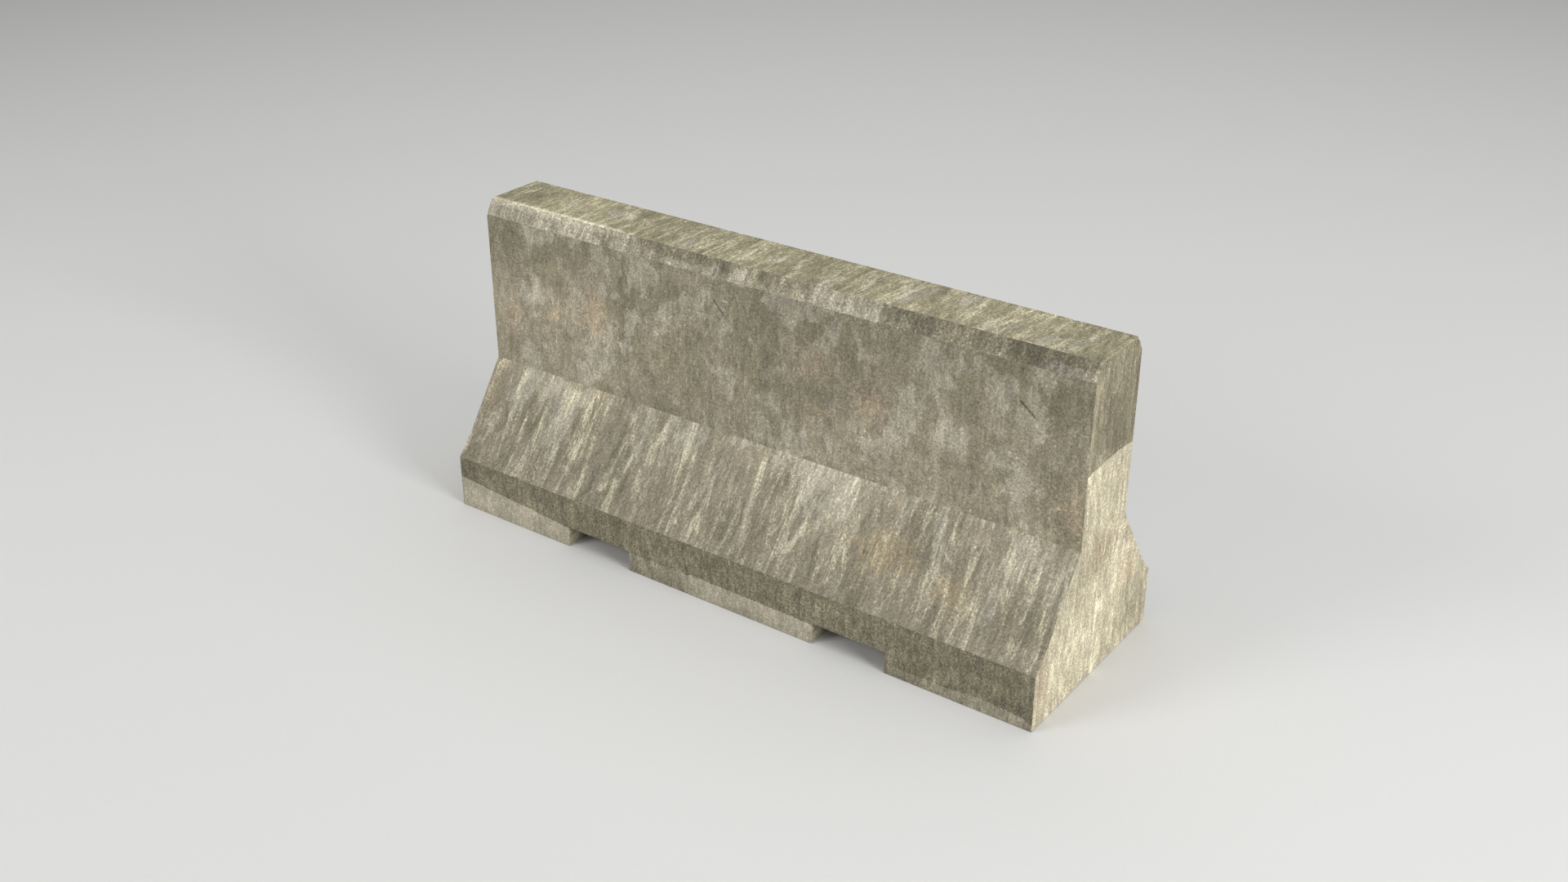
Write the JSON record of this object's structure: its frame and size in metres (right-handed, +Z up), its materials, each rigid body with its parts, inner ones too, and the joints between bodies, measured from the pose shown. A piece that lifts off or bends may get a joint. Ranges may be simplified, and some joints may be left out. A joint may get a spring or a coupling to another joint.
{
  "type": "concrete road barrier",
  "caption": "Precast concrete jersey barrier with plain ends and fork-lift slots through the foot, cast around a tied steel cage.",
  "frame": {"origin": "centre of the base, on the ground", "axes": "+X along the barrier, +Y across it to the back, +Z up"},
  "size_m": [1.92, 0.615, 0.9],
  "materials": {
    "cast_concrete": "weathered cast concrete with run-off streaks",
    "reinforcing_steel": "ribbed bar with mill scale and light rust",
    "tie_wire": "black annealed wire",
    "spacer_plastic": "grey moulded plastic"
  },
  "bodies": {
    "root": {"base_bar_back": "reinforcing_steel", "base_bar_front": "reinforcing_steel", "concrete_casting": "cast_concrete", "cover_spacers": "spacer_plastic", "cross_bar_01": "reinforcing_steel", "cross_bar_02": "reinforcing_steel", "cross_bar_03": "reinforcing_steel", "cross_bar_04": "reinforcing_steel", "cross_bar_05": "reinforcing_steel", "cross_bar_06": "reinforcing_steel", "cross_bar_07": "reinforcing_steel", "cross_bar_08": "reinforcing_steel", "cross_bar_09": "reinforcing_steel", "cross_bar_10": "reinforcing_steel", "hairpin_link_01": "reinforcing_steel", "hairpin_link_02": "reinforcing_steel", "hairpin_link_03": "reinforcing_steel", "hairpin_link_04": "reinforcing_steel", "hairpin_link_05": "reinforcing_steel", "hairpin_link_06": "reinforcing_steel", "hairpin_link_07": "reinforcing_steel", "hairpin_link_08": "reinforcing_steel", "hairpin_link_09": "reinforcing_steel", "hairpin_link_10": "reinforcing_steel", "slope_bar_back": "reinforcing_steel", "slope_bar_front": "reinforcing_steel", "toe_bar_back": "reinforcing_steel", "toe_bar_front": "reinforcing_steel", "top_bar_back": "reinforcing_steel", "top_bar_front": "reinforcing_steel", "waist_bar_back": "reinforcing_steel", "waist_bar_front": "reinforcing_steel", "web_bar_back": "reinforcing_steel", "web_bar_front": "reinforcing_steel", "wire_ties": "tie_wire"}
  },
  "joints": []
}
